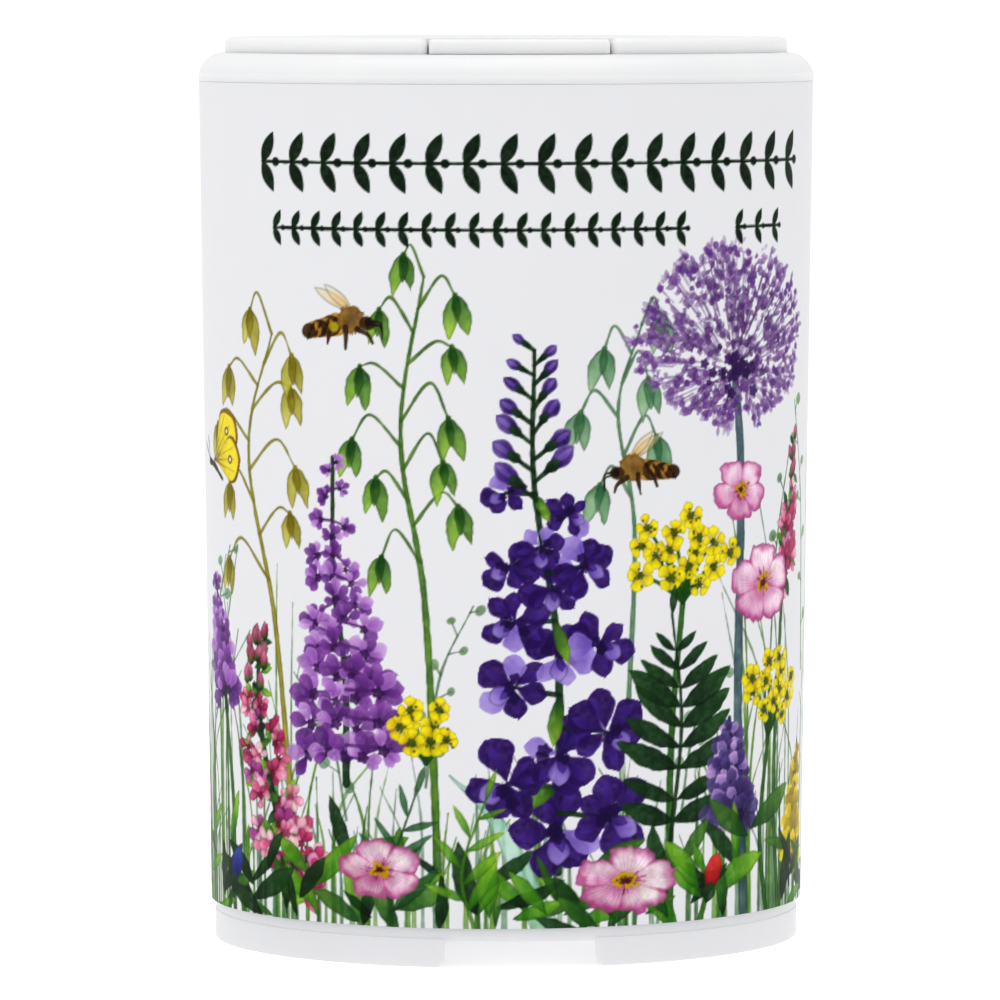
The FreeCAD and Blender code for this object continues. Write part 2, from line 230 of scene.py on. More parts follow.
def between(root, tip, width, tone, **look):
    """A petal or leaf from its root to its tip."""
    away = np.subtract(tip, root)
    long = np.hypot(*away)
    petal(root, math.degrees(math.atan2(away[1], away[0])), long, width * long, *tone, **look)


# Colours, as painted -------------------------------------------------------------------------


def rgb(red, green, blue):
    """A colour given by numbers up to 255."""
    return red / 255, green / 255, blue / 255


INK = rgb(4, 26, 8)
VIOLET, VIOLET_MID, VIOLET_PALE = rgb(42, 12, 88), rgb(86, 52, 158), rgb(166, 146, 212)
MAUVE, MAUVE_MID, MAUVE_PALE = rgb(78, 30, 108), rgb(146, 84, 172), rgb(206, 172, 222)
GLOBE, GLOBE_MID, GLOBE_PALE = rgb(84, 38, 122), rgb(146, 92, 180), rgb(208, 178, 226)
PINK, PINK_MID, PINK_PALE = rgb(152, 28, 78), rgb(214, 84, 136), rgb(248, 202, 216)
ORCHID, ORCHID_PALE = rgb(140, 40, 122), rgb(214, 122, 184)
BLUSH, BLUSH_PALE = rgb(186, 84, 146), rgb(248, 232, 240)
YELLOW, YELLOW_PALE = rgb(196, 168, 6), rgb(244, 228, 26)
ORANGE = rgb(222, 140, 16)
GREEN, GREEN_PALE = rgb(26, 76, 24), rgb(108, 156, 56)
BRIGHT, BRIGHT_PALE = rgb(48, 118, 16), rgb(156, 200, 58)
DARK, DARK_PALE = rgb(8, 36, 14), rgb(40, 88, 36)
SAGE, SAGE_PALE = rgb(58, 112, 72), rgb(160, 196, 150)
TEAL, TEAL_PALE = rgb(60, 136, 106), rgb(198, 228, 212)
OLIVE, OLIVE_PALE = rgb(126, 116, 14), rgb(206, 200, 92)
BLUEGREEN, BLUEGREEN_PALE = rgb(36, 62, 76), rgb(122, 150, 150)
BROWN, BROWN_PALE, GOLD = rgb(38, 20, 6), rgb(84, 52, 20), rgb(216, 164, 62)
RED, RED_PALE = rgb(170, 14, 26), rgb(232, 84, 70)
BLUE, BLUE_PALE = rgb(24, 28, 120), rgb(112, 128, 220)
LEAVES = [(GREEN, GREEN_PALE), (BRIGHT, BRIGHT_PALE), (DARK, DARK_PALE)]
MAUVES = (MAUVE, MAUVE_MID, MAUVE_PALE)
DUSKY = (rgb(46, 30, 84), rgb(104, 88, 150), MAUVE_PALE)
GOLDEN = (OLIVE, YELLOW, YELLOW_PALE)
PINKS = [(PINK, PINK_MID, PINK_PALE), (ORCHID, ORCHID_PALE, PINK_PALE), (PINK_MID, PINK_PALE, PINK_PALE)]


# Plants --------------------------------------------------------------------------------------


def grasses(low_s, high_s, count, height, rng):
    """A thicket of fine blades and stalks that lean and cross."""
    for _ in range(count):
        s = rng.uniform(low_s, high_s)
        tall = rng.uniform(*height)
        lean = rng.normal(0, tall * 0.16)
        tone = [(GREEN, GREEN_PALE), (SAGE, SAGE_PALE), (BRIGHT, BRIGHT_PALE)][rng.integers(3)]
        points = [(s, LOW - 1), (s + lean * 0.1, LOW + tall * 0.6), (s + lean, LOW + tall)]
        stem(points, rng.uniform(0.25, 0.55), 0.08, *tone, strength=rng.uniform(0.55, 0.9))


def sprig(points, leaves, length, tone, rng, width):
    """A stalk with leaves in turn on either side and one at its tip."""
    path = stem(points, 0.36, 0.168, *tone, strength=0.85)
    for k in range(leaves):
        i = int((k + 1.5) / (leaves + 1) * (len(path) - 2))
        way = path[i + 1] - path[i]
        angle = math.degrees(math.atan2(way[1], way[0])) + (48 if k % 2 else -48)
        size = length * (1 - 0.45 * k / leaves) * rng.uniform(0.85, 1.15)
        petal(path[i], angle + rng.normal(0, 7), size, size * width, *tone, strength=0.85, fat=0.45)
    way = path[-1] - path[-2]
    petal(path[-1], math.degrees(math.atan2(way[1], way[0])), length * 0.6, length * width * 0.6, *tone,
          strength=0.85)


def along_path(path, share):
    """The place at a share of a path's length, from 0 to 1."""
    return path[min(int(share * (len(path) - 1)), len(path) - 1)]


def step(angle, reach):
    """A step of the given reach towards an angle in degrees."""
    return reach * np.array([math.cos(math.radians(angle)), math.sin(math.radians(angle))])


def fern(points, pairs, length, tone, rng):
    """A dark stalk, from its foot to its tip, with pairs of leaflets that shorten upwards."""
    path = stem(points, 0.45, 0.2, *tone)
    for k in range(pairs):
        root = along_path(path, 0.12 + 0.84 * k / pairs)
        long = length * math.sin(math.pi * (0.3 + 0.62 * k / pairs)) * rng.uniform(0.88, 1.1)
        for side in (-1, 1):
            tip = root + step(90 - side * (72 - 26 * k / pairs + rng.normal(0, 4)), long)
            between(root, tip, rng.uniform(0.24, 0.34), tone, bend=-0.1 * side, strength=0.98,
                    shade=(0.0, 0.75), rim=0.15)
            stem([root, (root + tip) / 2], 0.12, 0.06, *tone, strength=0.6, mix=1.0, count=4)
    between(path[-1], path[-1] + step(84, length * 0.4), 0.3, tone)


def bud_twig(points, buds, tone, rng, size):
    """A thin twig with round buds on short stalks."""
    path = stem(points, 0.26, 0.14, *tone, strength=0.8)
    for k in range(buds):
        i = int((k + 1) / buds * (len(path) - 2))
        way = path[i + 1] - path[i]
        angle = math.degrees(math.atan2(way[1], way[0]) + (0.9 if k % 2 else -0.9))
        tip = path[i] + step(angle, rng.uniform(1.0, 1.9) * size)
        stem([path[i], (path[i] + tip) / 2, tip], 0.16, 0.12, *tone, strength=0.75, count=5)
        blot(tip, size * rng.uniform(0.45, 0.7), *tone, strength=0.75, squash=0.8, tilt=rng.uniform(0, 90))


# An oat's husks: the turn of each from the middle, its strength and its shade.
HUSKS = ((-13, 0.9, (0.35, 1.0)), (13, 0.9, (0.0, 0.7)), (0, 0.75, (-0.2, 0.4)))


def oats(points, arms, reach, tone, rng, thick=0.5):
    """A stalk from foot to tip, with bowed arms by turns, each ending in a hanging spikelet."""
    path = stem(points, thick * 1.4, thick * 0.45, *tone, strength=0.95, count=60)
    for k in range(arms):
        root = along_path(path, 0.42 + 0.58 * k / (arms - 1))
        out = (1 if k % 2 else -1) * reach * (1 - 0.55 * k / arms) * rng.uniform(0.55, 1.1)
        top = root + (0.62 * out, rng.uniform(1.8, 3.4))
        end = root + (out, rng.uniform(0.2, 2.0))
        stem([root, top, end], 0.3, 0.17, *tone, strength=0.88, count=24)
        droop = -90 + 9 * out / reach
        for turn, strength, shade in HUSKS:
            long = rng.uniform(3.0, 3.8) * (0.7 if turn == 0 else 1)
            petal(end, droop + turn, long, 0.36 * long, *tone, strength=strength, fat=0.4, shade=shade,
                  rim=0.3, bend=0.012 * turn)
        blot(end, 0.24, *tone, strength=0.9, mix=0.2)


def globe(centre, radii, focus, rng, florets=640):
    """A round head of many small florets on fine spokes that meet at a focus."""
    order = []
    for _ in range(florets):
        order.append((math.sqrt(rng.uniform(0, 1)), rng.uniform(0, 2 * math.pi)))
    focus = np.array(focus)
    for far, angle in sorted(order, reverse=True):
        edge = centre + far * np.array(radii) * (math.cos(angle), math.sin(angle))
        at = edge + rng.normal(0, 0.15, 2)
        away = at - focus
        heading = math.degrees(math.atan2(away[1], away[0]))
        deep = np.array(GLOBE) * (0.7 + 0.4 * far)
        fade = rng.uniform(0.4, 0.95) * (1 if far < 0.85 else 0.8)
        size = rng.uniform(0.45, 0.85)
        if rng.random() < 0.45:
            reach = min(0.45, 1.7 / (np.hypot(*away) + 0.1))
            stem([at - away * reach, at], 0.1, 0.22, deep, GLOBE_MID, strength=0.7 * fade, count=4)
        kind = rng.random()
        if kind < 0.5:
            tip = heading + rng.normal(0, 22)
            petal(at, tip, size * rng.uniform(1.1, 1.9), size * 0.55, deep, GLOBE_PALE, strength=fade,
                  fat=0.62, shade=(rng.uniform(0, 0.4), rng.uniform(0.4, 0.9)), rough=0.2)
        for _ in range(rng.integers(1, 4)):
            tip = heading + rng.normal(0, 60)
            petal(at, tip, size * rng.uniform(0.6, 1.15), size * 0.6, deep, GLOBE_PALE, strength=fade,
                  fat=0.62, shade=(rng.uniform(0, 0.5), rng.uniform(0.4, 1.0)), rough=0.2)
        if rng.random() < 0.3:
            blot(at, 0.3, deep, GLOBE_MID, strength=0.85, rough=0.2)
    for _ in range(34):
        at = focus + rng.normal(0, 1, 2) * np.array(radii) * 0.13
        blot(at, rng.uniform(0.2, 0.5), rgb(40, 20, 80), MAUVE, strength=0.85, lobes=5)


def larkspur(at, radius, rng, lip=None):
    """A dark open flower of broad petals with pale edges, and a pale lip in the middle."""
    start = rng.uniform(0, 360)
    for k in range(6):
        angle = start + 60 * k + rng.normal(0, 12)
        long = radius * rng.uniform(0.78, 1.12)
        light = rng.random() < 0.22
        shade = (0.3, 1.0) if light else (-0.35, rng.uniform(0.0, 0.4))
        tone = (VIOLET_MID, VIOLET_PALE) if light else (VIOLET, VIOLET_MID)
        petal(at, angle, long, long * rng.uniform(0.55, 0.8), *tone, strength=0.97, fat=0.66, shade=shade,
              rim=-0.4, bend=rng.uniform(-0.2, 0.2), rough=0.4)
        if not light:
            petal(at, angle + rng.normal(0, 8), long * 0.85, long * 0.26, VIOLET, VIOLET_MID,
                  strength=0.6, fat=0.6, shade=(-0.3, 1.2), rim=0)
    lip = rng.uniform(0, 360) if lip is None else lip
    petal(at, lip, radius * 0.72, radius * 0.5, VIOLET_MID, VIOLET_PALE, strength=0.95, fat=0.6,
          shade=(0.0, 1.1), rim=0.3)
    petal(at, lip + 12, radius * 0.45, radius * 0.24, VIOLET, VIOLET_MID, strength=0.8, fat=0.5)
    for _ in range(3):
        spot = np.array(at) + rng.normal(0, radius * 0.16, 2)
        blot(spot, radius * 0.15, rgb(26, 8, 60), VIOLET, strength=0.8, lobes=5, rough=0.5)


def closed_bud(root, tip, pale):
    """A closed violet bud in a dark green cup."""
    root = np.array(root)
    away = tip - root
    stem([root, root + away * 0.25], 0.4, 0.5, DARK, DARK_PALE, count=4)
    between(root, tip, 0.5, (VIOLET, VIOLET_PALE), fat=0.62, shade=(-0.2, pale), rim=-0.3, strength=0.98)
    between(root + away * 0.3, root + away * 0.92, 0.26, (VIOLET_MID, VIOLET_PALE), fat=0.6, rim=0,
            shade=(0.2, 0.9), strength=0.7)
    between(root, root + away * 0.48, 0.62, (DARK, DARK_PALE), fat=0.45, strength=0.93)


def puff(at, radius, heading, tones, rng, petals=5, spread=210, rim=-0.35):
    """A floret whose rounded petals fan out towards a heading, darker at its root."""
    root = np.array(at) - step(heading, 0.45 * radius)
    for k in range(petals):
        angle = heading + spread * ((k + 0.5) / petals - 0.5) + rng.normal(0, 8)
        facing = 1 - 0.3 * abs(angle - heading) / 90
        deep, middle, pale = tones
        light = rng.random() < 0.35
        tone = (middle, pale) if light else (deep, middle)
        long = radius * 1.45 * facing * rng.uniform(0.85, 1.1)
        petal(root, angle, long, long * 0.6, *tone, strength=rng.uniform(0.85, 0.97), fat=0.66, rim=rim,
              shade=(-0.2, rng.uniform(0.5, 1.1)), rough=0.35)
    blot(root, radius * 0.28, np.array(tones[0]) * 0.5, tones[0], strength=0.85, lobes=5, rough=0.5)


def larkspur_spike(points, buds, flowers, radius, rng):
    """A tall dark spike, from tip to foot: closed buds, then open flowers that widen downwards."""
    path = stem(points, 0.3, 0.8, DARK, DARK_PALE, strength=0.95, count=80)
    for k in range(flowers - 1, -1, -1):
        grown = k / (flowers - 1)
        size = radius * (0.52 + 0.48 * grown)
        side = (-1, 1, 0)[k % 3]
        root = along_path(path, 0.36 + 0.6 * grown)
        at = root + (side * size * 1.15, rng.normal(0, 0.6))
        stem([root, at], 0.45, 0.35, DARK, DARK_PALE, count=4)
        if k % 3 == 0:
            leaf = step(rng.uniform(200, 340), size * 1.3)
            between(root, root + leaf, 0.3, (GREEN, BRIGHT_PALE), strength=0.95)
        larkspur(at, size, rng, lip=-90 + 60 * side)
    for k in range(buds):
        grown = k / (buds - 1)
        side = 1 if k % 2 else -1
        root = along_path(path, 0.01 + 0.36 * grown)
        out = 90 - side * rng.uniform(34, 62)
        foot = root + step(out, 0.6 + 0.8 * grown)
        stem([root, foot], 0.35, 0.35, DARK, DARK_PALE, count=4)
        closed_bud(foot, foot + step(out, 1.6 + 1.6 * grown), 0.3 + 0.3 * grown)


def tiered_spike(points, tiers, width, tones, rng, middle=(DARK, DARK_PALE)):
    """Loose rings of florets round a stalk, from tip to foot, each ring wider than the last."""
    path = stem(points, 0.35, 0.7, *middle, strength=0.95, count=60)
    for k in range(tiers):
        grown = (k + 1) / tiers
        at = along_path(path, 0.02 + 0.94 * k / tiers)
        count = 2 + round(2.6 * grown)
        for j in range(count):
            x = (2 * j / (count - 1) - 1) * rng.uniform(0.85, 1.1)
            spot = at + (x * width * grown**0.75, rng.normal(0, 0.35) - 0.5 * abs(x))
            stem([at, spot], 0.3, 0.2, tones[0], tones[1], strength=0.85, count=4)
            puff(spot, rng.uniform(0.5, 0.75) + 1.15 * grown, 90 - 75 * x, tones, rng)


def heath(points, florets, width, rng):
    """A crowded pink spike, from tip to foot: buds first, then open florets among leaves."""
    path = stem(points, 0.4, 0.9, DARK, GREEN, strength=0.95, count=60)
    places = []
    for k in range(florets):
        grown = (k + 0.5) / florets
        root = along_path(path, grown)
        side = rng.uniform(-1, 1)
        places.append((root + (side * width * (0.2 + 0.8 * grown), rng.normal(0, 0.5)), root, grown))
    for at, root, grown in places:
        leaf = LEAVES[rng.integers(3)]
        long, wide = 1.2 + 1.4 * grown, 0.5 + 0.6 * grown
        petal((at + root) / 2, rng.uniform(0, 360), long, wide, *leaf, strength=0.95)
    for at, root, grown in places:
        size = 0.7 + 0.75 * grown
        if grown < 0.25:
            petal(at, 90 + rng.normal(0, 14), size * 2.0, size * 1.1, PINK, PINK_PALE, strength=0.95,
                  fat=0.5, shade=(-0.1, 0.6), rim=0.35)
            petal(at, 90, size * 0.9, size, DARK, GREEN_PALE, strength=0.85, fat=0.5)
            continue
        away = at - root
        heading = math.degrees(math.atan2(away[1] + 0.4, away[0])) + rng.normal(0, 25)
        tones = PINKS[rng.choice(3, p=[0.5, 0.22, 0.28])]
        puff(at, size, heading, tones, rng, petals=4, spread=230, rim=0.25)


SPIRAL_TURN = 2.4  # near the golden angle in radians, so that places spread evenly


def yellow_head(centre, radii, count, rng, foot):
    """A loose dome of small yellow flowers on green spokes from one foot."""
    places = []
    for k in range(count):
        far, angle = math.sqrt((k + 0.5) / count), k * SPIRAL_TURN
        even = centre + far * np.array(radii) * (math.cos(angle), math.sin(angle))
        places.append(even + rng.normal(0, 0.3, 2))
    for place in places:
        middle = (place + foot) / 2 + (rng.normal(0, 0.3), 0.4)
        stem([foot, middle, place], 0.42, 0.22, GREEN, BRIGHT, strength=0.9, count=10)
    for place in places:
        start = rng.uniform(0, 90)
        size = rng.uniform(1.0, 1.35)
        for k in range(5):
            petal(place, start + 72 * k + rng.normal(0, 9), size * rng.uniform(0.8, 1.1), size * 0.85,
                  YELLOW, YELLOW_PALE, strength=0.98, fat=0.68, shade=(-0.1, 1.3), rim=0.2)
        blot(place, 0.34, GREEN, OLIVE, strength=0.85, lobes=6, rough=0.6)
        for _ in range(5):
            blot(place + rng.normal(0, 0.35, 2), 0.12, OLIVE, GREEN, strength=0.8, rough=0.2)


MALLOW_PETALS, STREAKS, STAMENS = 5, 26, 26


def mallow(at, radius, squash, tilt, rng):
    """A wide open flower: pale, flushed at its rim and root, finely veined, with gold in it."""
    reach = radius * 1.15
    place = window(at[0] - reach, at[0] + reach, at[1] - reach, at[1] + reach)
    x, y = S[place[1]][None, :] - at[0], (Z[place[0]][:, None] - at[1]) / squash
    angle, distance = np.arctan2(y, x) - math.radians(tilt), np.hypot(x, y)
    seam = np.abs(np.cos(MALLOW_PETALS / 2 * angle))
    edge = radius * (1 - 0.2 * (1 - seam) ** 3)
    depth = (edge - distance) * squash + 0.75 * WOBBLE[place]
    root = np.exp(-((distance / (0.42 * radius)) ** 2))
    rim = np.exp(-((depth / 0.5) ** 2)) * (0.5 + 0.8 * WASH[place])
    inward = np.clip(1 - distance / radius, 0, 1)
    veins = (0.5 + 0.5 * np.cos(angle * 46 + 5 * WOBBLE[place])) ** 3 * inward
    folds = np.exp(-((seam / 0.16) ** 2)) * np.clip(distance / radius, 0, 1)
    side = np.clip(0.35 * np.cos(angle + 2.6), 0, 1)
    flush = np.clip(0.75 * root + rim + 0.35 * veins + 0.45 * folds + side, 0, 1)
    wash_on(place, depth, BLUSH, BLUSH_PALE, 1 - flush, 0.97, 0.18)

    def inside(nearest, farthest):
        """A place on the flower, between two shares of its radius from the middle."""
        turned = rng.uniform(0, 2 * math.pi)
        far = radius * rng.uniform(nearest, farthest)
        return at[0] + far * math.cos(turned), at[1] + far * math.sin(turned) * squash

    for _ in range(STREAKS):
        stem([at, inside(0.1, 0.42)], 0.16, 0.08, PINK, ORCHID, strength=0.6, count=3)
    for _ in range(STAMENS):
        tip = inside(0.04, 0.26)
        stem([at, tip], 0.16, 0.1, BROWN, ORANGE, strength=0.85, count=3)
        blot(tip, 0.2, ORANGE, YELLOW_PALE, strength=0.95, rough=0.3)
    blot(at, radius * 0.09, BROWN, PINK, strength=0.9, squash=squash, lobes=5)


def bee(at, size, facing, tilt, rng, flying=True):
    """A striped bee seen from the side, its head towards facing, 1 or -1 along the girth."""

    def place(x, y):
        angle = math.radians(tilt)
        return (
            at[0] + size * facing * (x * math.cos(angle) - y * math.sin(angle)),
            at[1] + size * (x * math.sin(angle) + y * math.cos(angle)),
        )

    def turned(angle):
        angle = angle + tilt
        return angle if facing > 0 else 180 - angle

    for angle, long in ((158, 2.5), (146, 2.1)):
        petal(place(0.5, 0.75), turned(angle), long * size, 0.62 * size, GOLD, rgb(236, 226, 200),
              strength=0.5, rim=0.5, rough=0.05)
    for k in range(6):
        share = k / 5
        spot = place(-0.35 - 1.55 * share, -0.05 - 0.55 * share)
        tone = (BROWN, BROWN_PALE) if k % 2 else (rgb(164, 112, 34), GOLD)
        blot(spot, (0.62 - 0.2 * share) * size, *tone, strength=0.95, squash=0.95, rough=0.15)
    for k in range(4):
        spot = place(-0.5 - 1.3 * k / 3, -0.1 - 0.5 * k / 3)
        for angle in (70, 250):
            petal(spot, turned(angle), 0.5 * size, 0.2 * size, BROWN, BROWN, strength=0.8)
    blot(place(0.45, 0.3), 0.68 * size, BROWN, GOLD, strength=0.96, rough=0.5, mix=0.45)
    for _ in range(26):
        angle = rng.uniform(0, 360)
        root = place(*(step(angle, 0.5) + (0.45, 0.3)))
        petal(root, turned(angle), 0.32 * size, 0.12 * size, GOLD, rgb(120, 80, 30), strength=0.7)
    blot(place(1.35, 0.22), 0.42 * size, BROWN, rgb(96, 62, 24), strength=0.97, squash=0.85, rough=0.15)
    blot(place(1.42, 0.26), 0.2 * size, rgb(16, 10, 6), BROWN, strength=0.95, squash=1.2, rough=0.0)
    for x, foot, far in ((-0.5, -1.1, -0.25), (0.2, -1.25, 0.1), (0.85, -0.75, 0.9)):
        knee = place(x + far * 0.7, foot * 0.5)
        leg = [place(x, -0.15), knee, place(x + far, foot)]
        stem(leg, 0.3 * size, 0.14 * size, BROWN, BROWN_PALE, count=8)
    if flying:
        blot(place(-0.45, -0.2), 0.27 * size, OLIVE, YELLOW_PALE, strength=0.95, rough=0.1)
    for y in (0.05, -0.12):
        feeler = [place(1.65, 0.3 + y), place(2.1, 0.25 + y), place(2.25, -0.35 + y)]
        stem(feeler, 0.12 * size, 0.08 * size, BROWN, BROWN, count=8)


def butterfly(at, size):
    """A yellow butterfly at rest with its wings shut, seen from the side."""
    at = np.array(at)
    edge, wing = (rgb(96, 62, 8), rgb(150, 108, 20)), (rgb(206, 180, 16), rgb(244, 230, 66))
    for angle, long, wide in ((44, 6.2, 4.2), (4, 5.4, 4.4)):
        petal(at, angle, long * size, wide * size, *edge, strength=0.97, fat=0.72, rough=0.05)
        petal(at, angle, long * size * 0.93, wide * size * 0.9, *wing, strength=0.97, fat=0.72,
              rough=0.05, shade=(0.2, 1.2), rim=0.05)
        for turn in (-15, 0, 15):
            stem([at, at + step(angle + turn, long * size * 0.8)], 0.12, 0.06, *edge, strength=0.45, count=4)
        spot = at + step(angle, long * size * 0.66)
        blot(spot, 0.4 * size, *edge, strength=0.9, rough=0.1)
        blot(spot, 0.2 * size, rgb(226, 226, 214), rgb(250, 250, 244), strength=0.95, rough=0.0, rim=0.0)
    head, fur = at + step(190, 1.2 * size), (BROWN, rgb(98, 74, 30))
    back = [head, at + step(-70, 0.6 * size), at + step(-40, 2.6 * size)]
    stem(back, 0.7 * size, 0.3 * size, *fur, count=14)
    blot(head, 0.36 * size, *fur, strength=0.95, rough=0.1)
    for turn in (108, 136):
        stem([head, head + step(turn, 2.4 * size)], 0.14, 0.12, BROWN, BROWN, strength=0.85, count=4)


def blade(points, width, tone, mix):
    """A broad leaf that widens from its tip along a curve."""
    stem(points, 0.15, width, *tone, strength=0.85, mix=mix, count=30)


# The meadow ----------------------------------------------------------------------------------


def leafy_band(middle, half_length, pitch, leaf, height):
    """A band of paired ink leaves and berries, generic, in place of a line of words."""
    pairs = int(2 * half_length / pitch)
    first, z = middle[0] - half_length, middle[1]
    flat_ink = {"deep": INK, "pale": INK, "strength": 0.98, "rim": 0}
    for k in range(pairs + 1):
        s = first + 2 * half_length * k / pairs
        for angle in (64, -64):
            petal((s, z), angle, height * 0.62, leaf, rough=0.04, fat=0.45, **flat_ink)
        blot((s + pitch * 0.5, z), height * 0.085, rough=0.0, **flat_ink)
    stem([(first, z), (first + 2 * half_length + pitch * 0.5, z)], 0.26, 0.26, count=4, **flat_ink)


def undergrowth(low_s, high_s, leaves, rng):
    """Crossing leaves along the foot of the meadow, the darkest at the bottom."""
    for _ in range(leaves):
        s = rng.uniform(low_s, high_s)
        z = LOW + rng.uniform(-1, 8) * rng.uniform(0.2, 1)
        long = rng.uniform(3.0, 6.5)
        tone = LEAVES[rng.choice(3, p=[0.3, 0.35, 0.35])]
        petal((s, z), rng.uniform(15, 165), long, long * rng.uniform(0.18, 0.34), *tone, strength=0.94,
              bend=rng.uniform(-0.2, 0.2), shade=(0.0, rng.uniform(0.5, 0.95)))


FRONT_HALF, BACK_START = 35, 34  # the back's plants begin just inside the front's last ones


def paint_front(rng):
    """The front of the meadow: dark and close at the foot, loose and airy towards the top."""
    grasses(-FRONT_HALF, FRONT_HALF, 120, (5, 16), rng)
    grasses(-FRONT_HALF, -20, 24, (14, 32), rng)
    grasses(20, FRONT_HALF, 20, (14, 38), rng)
    twigs = ((-32, 34, 4, SAGE), (-15, 24, -5, SAGE), (-8, 30, 4, GREEN), (14, 24, 4, SAGE),
             (24, 42, 3, GREEN), (31, 46, -3, BRIGHT))
    for s, z, lean, tone in twigs:
        bud_twig([(s, z * 0.5), (s + lean * 0.3, z * 0.8), (s + lean, z)], 7, (tone, SAGE_PALE), rng, 0.85)
    # Oats: olive on the left, green in the middle, sage on the right.
    oats([(-20, 8), (-22, 28), (-25, 42), (-22, 52)], 9, 6.5, (OLIVE, OLIVE_PALE), rng, thick=0.45)
    oats([(-7, 8), (-8, 30), (-10, 44), (-8, 57)], 11, 5.5, (GREEN, BRIGHT_PALE), rng)
    oats([(9, 20), (9.5, 36), (8, 46), (10, 53)], 6, 3.6, (SAGE, SAGE_PALE), rng, thick=0.35)
    # A globe flower on a blue-green stalk.
    stem([(21, LOW), (20, 20), (20, 40), (19, 50)], 1.1, 0.75, BLUEGREEN, BLUEGREEN_PALE, mix=0.35)
    globe((19, 52), (9.5, 7.5), (19, 49), rng)
    # Mauve spikes, pink spikes.
    tiered_spike([(-16, 42), (-16, 32), (-15, 24), (-15, 15)], 12, 4.0, MAUVES, rng)
    tiered_spike([(-31, 31), (-30, 26), (-29, 20)], 7, 1.6, MAUVES, rng)
    stem([(-29, 20), (-28, 12), (-28, LOW)], 0.5, 0.6, GREEN, GREEN_PALE)
    heath([(-24, 27), (-24, 20), (-22, 12), (-19, 6)], 62, 4.4, rng)
    heath([(28, 42), (27, 36), (26, 30)], 20, 1.9, rng)
    stem([(26, 30), (25, 14), (26, LOW)], 0.5, 0.6, GREEN, GREEN_PALE)
    # The dark larkspur in the middle.
    blade([(-6, 16), (-2, 12), (2, LOW)], 2.4, (TEAL, TEAL_PALE), mix=0.75)
    larkspur_spike([(1, 51), (1, 40), (3, 26), (3, 8)], 13, 15, 4.0, rng)
    # Yellow heads, fern and open flowers.
    stem([(13, LOW), (13, 18), (14, 30)], 0.75, 0.5, GREEN, BRIGHT)
    yellow_head((14, 34), (5, 3), 15, rng, (14, 30))
    yellow_head((25, 22), (4, 2.6), 12, rng, (24, 18))
    stem([(24, 18), (23, 10), (24, LOW)], 0.5, 0.6, GREEN, BRIGHT)
    yellow_head((-8, 20), (3, 2), 8, rng, (-8, 17))
    fern([(13, 10), (14, 20), (13, 29)], 9, 6.0, (DARK, DARK_PALE), rng)
    mallow((23, 31), 4.0, 0.85, 20, rng)
    mallow((20, 39), 3.0, 0.85, 50, rng)
    tiered_spike([(19, 20), (19, 16), (20, 11)], 6, 1.8, DUSKY, rng)
    tiered_spike([(30, 17), (29, 12), (29, 6)], 8, 1.4, GOLDEN, rng, middle=(GREEN, GREEN_PALE))
    # Leaves and low flowers along the foot.
    undergrowth(-FRONT_HALF, FRONT_HALF, 100, rng)
    sprig([(-11, LOW), (-11, 8), (-9, 14)], 8, 5.0, (GREEN, SAGE), rng, width=0.2)
    sprig([(-4, LOW), (-5, 8), (-3, 14)], 7, 4.6, (BRIGHT, BRIGHT_PALE), rng, width=0.22)
    mallow((9, 7), 4.6, 0.6, 10, rng)
    mallow((-12, 8), 3.6, 0.7, 30, rng)
    for s in (16, -29):
        stem([(s, LOW), (s + 0.6, 5)], 0.6, 0.5, GREEN, GREEN_PALE, count=4)
        closed = (RED, RED_PALE) if s > 0 else (BLUE, BLUE_PALE)
        petal((s + 0.6, 5), 70, 4.0, 1.7, *closed, strength=0.97, fat=0.64, shade=(-0.2, 0.7))
        petal((s + 0.6, 4.6), 70, 2.0, 1.4, DARK, DARK_PALE, strength=0.9)
    # Bees and a butterfly.
    bee((-15, 53), 1.6, 1, -6, rng)
    bee((10, 41), 1.5, -1, -14, rng, flying=False)
    butterfly((-31, 41), 0.9)


def paint_back(rng):
    """The meadow goes on round the back, where it is lower and looser."""
    for side in (-1, 1):
        stretch = sorted((side * BACK_START, side * HALF_GIRTH))
        grasses(*stretch, 80, (7, 30), rng)
        undergrowth(*stretch, 70, rng)
    tall = ((-66, 34), (-57, 42), (-48, 30), (41, 36), (50, 44), (60, 32), (68, 38))
    for k, (s, top) in enumerate(tall):
        lean = rng.normal(0, 2)
        spine = [(s + lean, top), (s, top * 0.6), (s, 9)]
        if k % 4 == 0:
            tiered_spike(spine, 11, 3.6, MAUVES, rng)
        elif k % 4 == 1:
            stem([(s, LOW), (s, top * 0.6), (s + lean, top - 4)], 0.8, 0.6, BLUEGREEN, BLUEGREEN_PALE)
            globe((s + lean, top), (6, 5.4), (s + lean, top - 2), rng, 260)
        elif k % 4 == 2:
            heath(spine, 44, 3.2, rng)
        else:
            larkspur_spike(spine, 9, 10, 3.2, rng)
    for s in (-62, -44, 45, 64):
        yellow_head((s, 20), (3.6, 2.4), 12, rng, (s + 0.5, 15))
        stem([(s + 0.5, 15.5), (s, 9), (s + 1, LOW)], 0.5, 0.6, GREEN, GREEN_PALE)
    for s, z in ((-52, 9), (-38, 12), (38, 8), (55, 10)):
        mallow((s, z), 3.9, 0.75, rng.uniform(0, 70), rng)
    for s in (-69, -60, -54, -40, 42, 53, 58, 66):
        spine = [(s, LOW), (s + 0.6, 9), (s + rng.normal(0, 2), 16)]
        sprig(spine, 8, 5.0, (DARK, GREEN_PALE), rng, width=0.22)


SEED = 7
meadow = np.random.default_rng(SEED)
paint_front(meadow)
paint_back(meadow)
